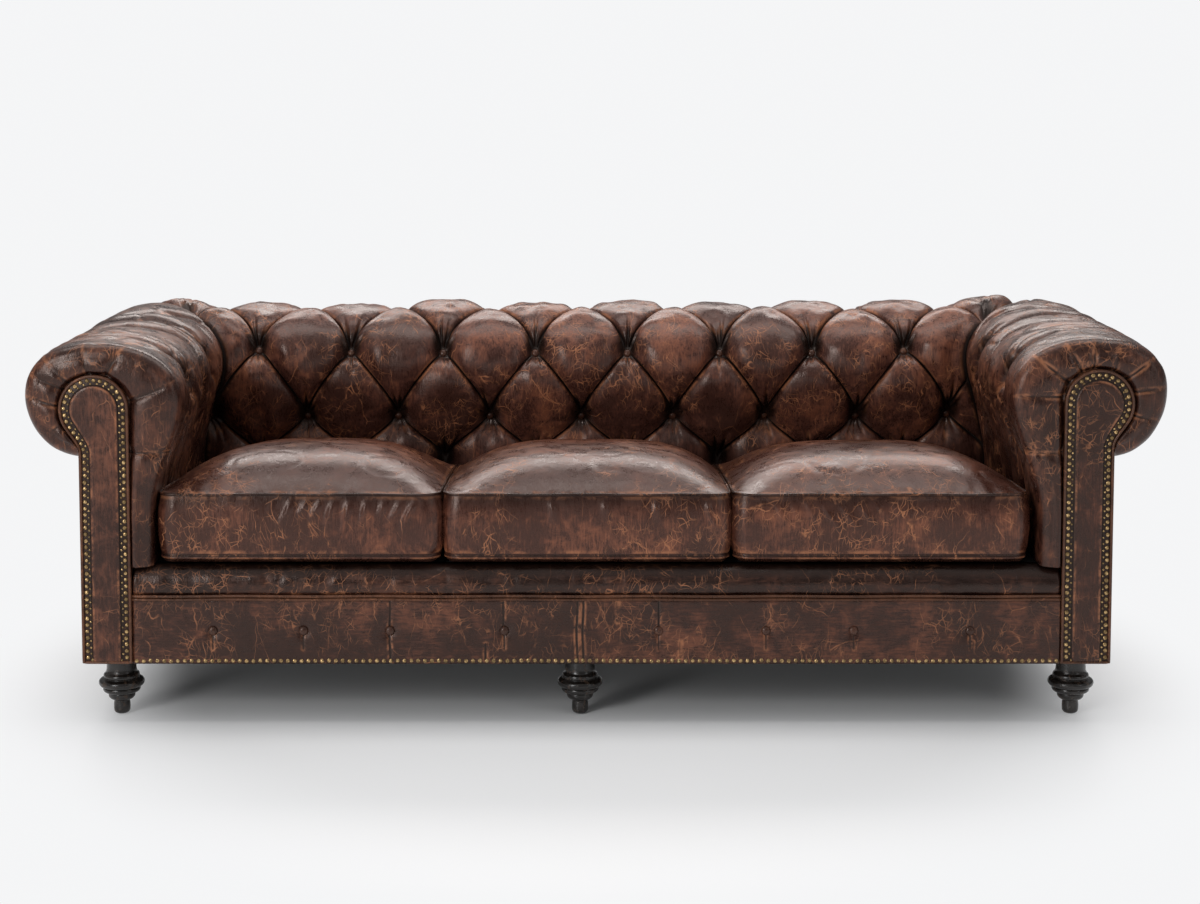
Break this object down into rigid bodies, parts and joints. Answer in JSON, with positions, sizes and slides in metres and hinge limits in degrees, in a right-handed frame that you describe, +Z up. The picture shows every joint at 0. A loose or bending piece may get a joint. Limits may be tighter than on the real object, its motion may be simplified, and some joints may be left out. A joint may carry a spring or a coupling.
{
  "type": "worn leather sofa",
  "caption": "Long sofa in worn dark leather with deep-buttoned back, rolled arms, nailed keyhole facings, loose crowned seat cushions and turned feet.",
  "frame": {"origin": "on the floor, at the middle of the bounding box's base", "axes": "+X to the right as seen from the front, +Y towards the back, +Z up"},
  "size_m": [2.278, 0.91, 0.776],
  "materials": {
    "inside_leather": "dark brown pull-up leather, rubbed on the folds, cracked and creased",
    "cushion_leather": "red-brown leather polished on the crown, with fine upright cracks in front",
    "border_leather": "red-brown leather with darker streaks and tan scuffs at its edges",
    "antique_brass": "dulled, darkened brass upholstery nails",
    "ebonised_wood": "dark satin lacquer worn on the rims",
    "beech": "sawn",
    "spring_steel": "drawn wire",
    "zinc_steel": "zinc plated",
    "jute": "woven hessian",
    "black_cloth": "non-woven lining"
  },
  "bodies": {
    "root": {"foot_front_left": "ebonised_wood", "foot_bolt_front_left": "zinc_steel", "foot_block_front_left": "beech", "foot_front_centre": "ebonised_wood", "foot_bolt_front_centre": "zinc_steel", "foot_block_front_centre": "beech", "foot_front_right": "ebonised_wood", "foot_bolt_front_right": "zinc_steel", "foot_block_front_right": "beech", "foot_rear_left": "ebonised_wood", "foot_bolt_rear_left": "zinc_steel", "foot_block_rear_left": "beech", "foot_rear_centre": "ebonised_wood", "foot_bolt_rear_centre": "zinc_steel", "foot_block_rear_centre": "beech", "foot_rear_right": "ebonised_wood", "foot_bolt_rear_right": "zinc_steel", "foot_block_rear_right": "beech", "front_seat_rail": "beech", "rear_seat_rail": "beech", "centre_seat_rail": "beech", "back_top_rail": "beech", "back_tack_rail": "beech", "front_post_left": "beech", "rear_post_left": "beech", "side_rail_left": "beech", "arm_tack_rail_left": "beech", "arm_rail_left": "beech", "front_post_right": "beech", "rear_post_right": "beech", "side_rail_right": "beech", "arm_tack_rail_right": "beech", "arm_rail_right": "beech", "seat_spring_1": "spring_steel", "seat_spring_2": "spring_steel", "seat_spring_3": "spring_steel", "seat_spring_4": "spring_steel", "seat_spring_5": "spring_steel", "seat_spring_6": "spring_steel", "seat_spring_7": "spring_steel", "seat_spring_8": "spring_steel", "seat_spring_9": "spring_steel", "dust_cover": "black_cloth", "seat_deck": "black_cloth", "back_hessian": "jute", "arm_hessian_left": "jute", "arm_hessian_right": "jute", "inside_back": "inside_leather", "inside_arm_left": "inside_leather", "inside_arm_right": "inside_leather", "outside_back": "border_leather", "outside_arm_left": "border_leather", "outside_arm_right": "border_leather", "front_lip": "border_leather", "front_border": "border_leather", "arm_facing_left": "border_leather", "arm_facing_right": "border_leather", "seat_cushion_left": "cushion_leather", "seat_cushion_middle": "cushion_leather", "seat_cushion_right": "cushion_leather"}
  },
  "joints": []
}
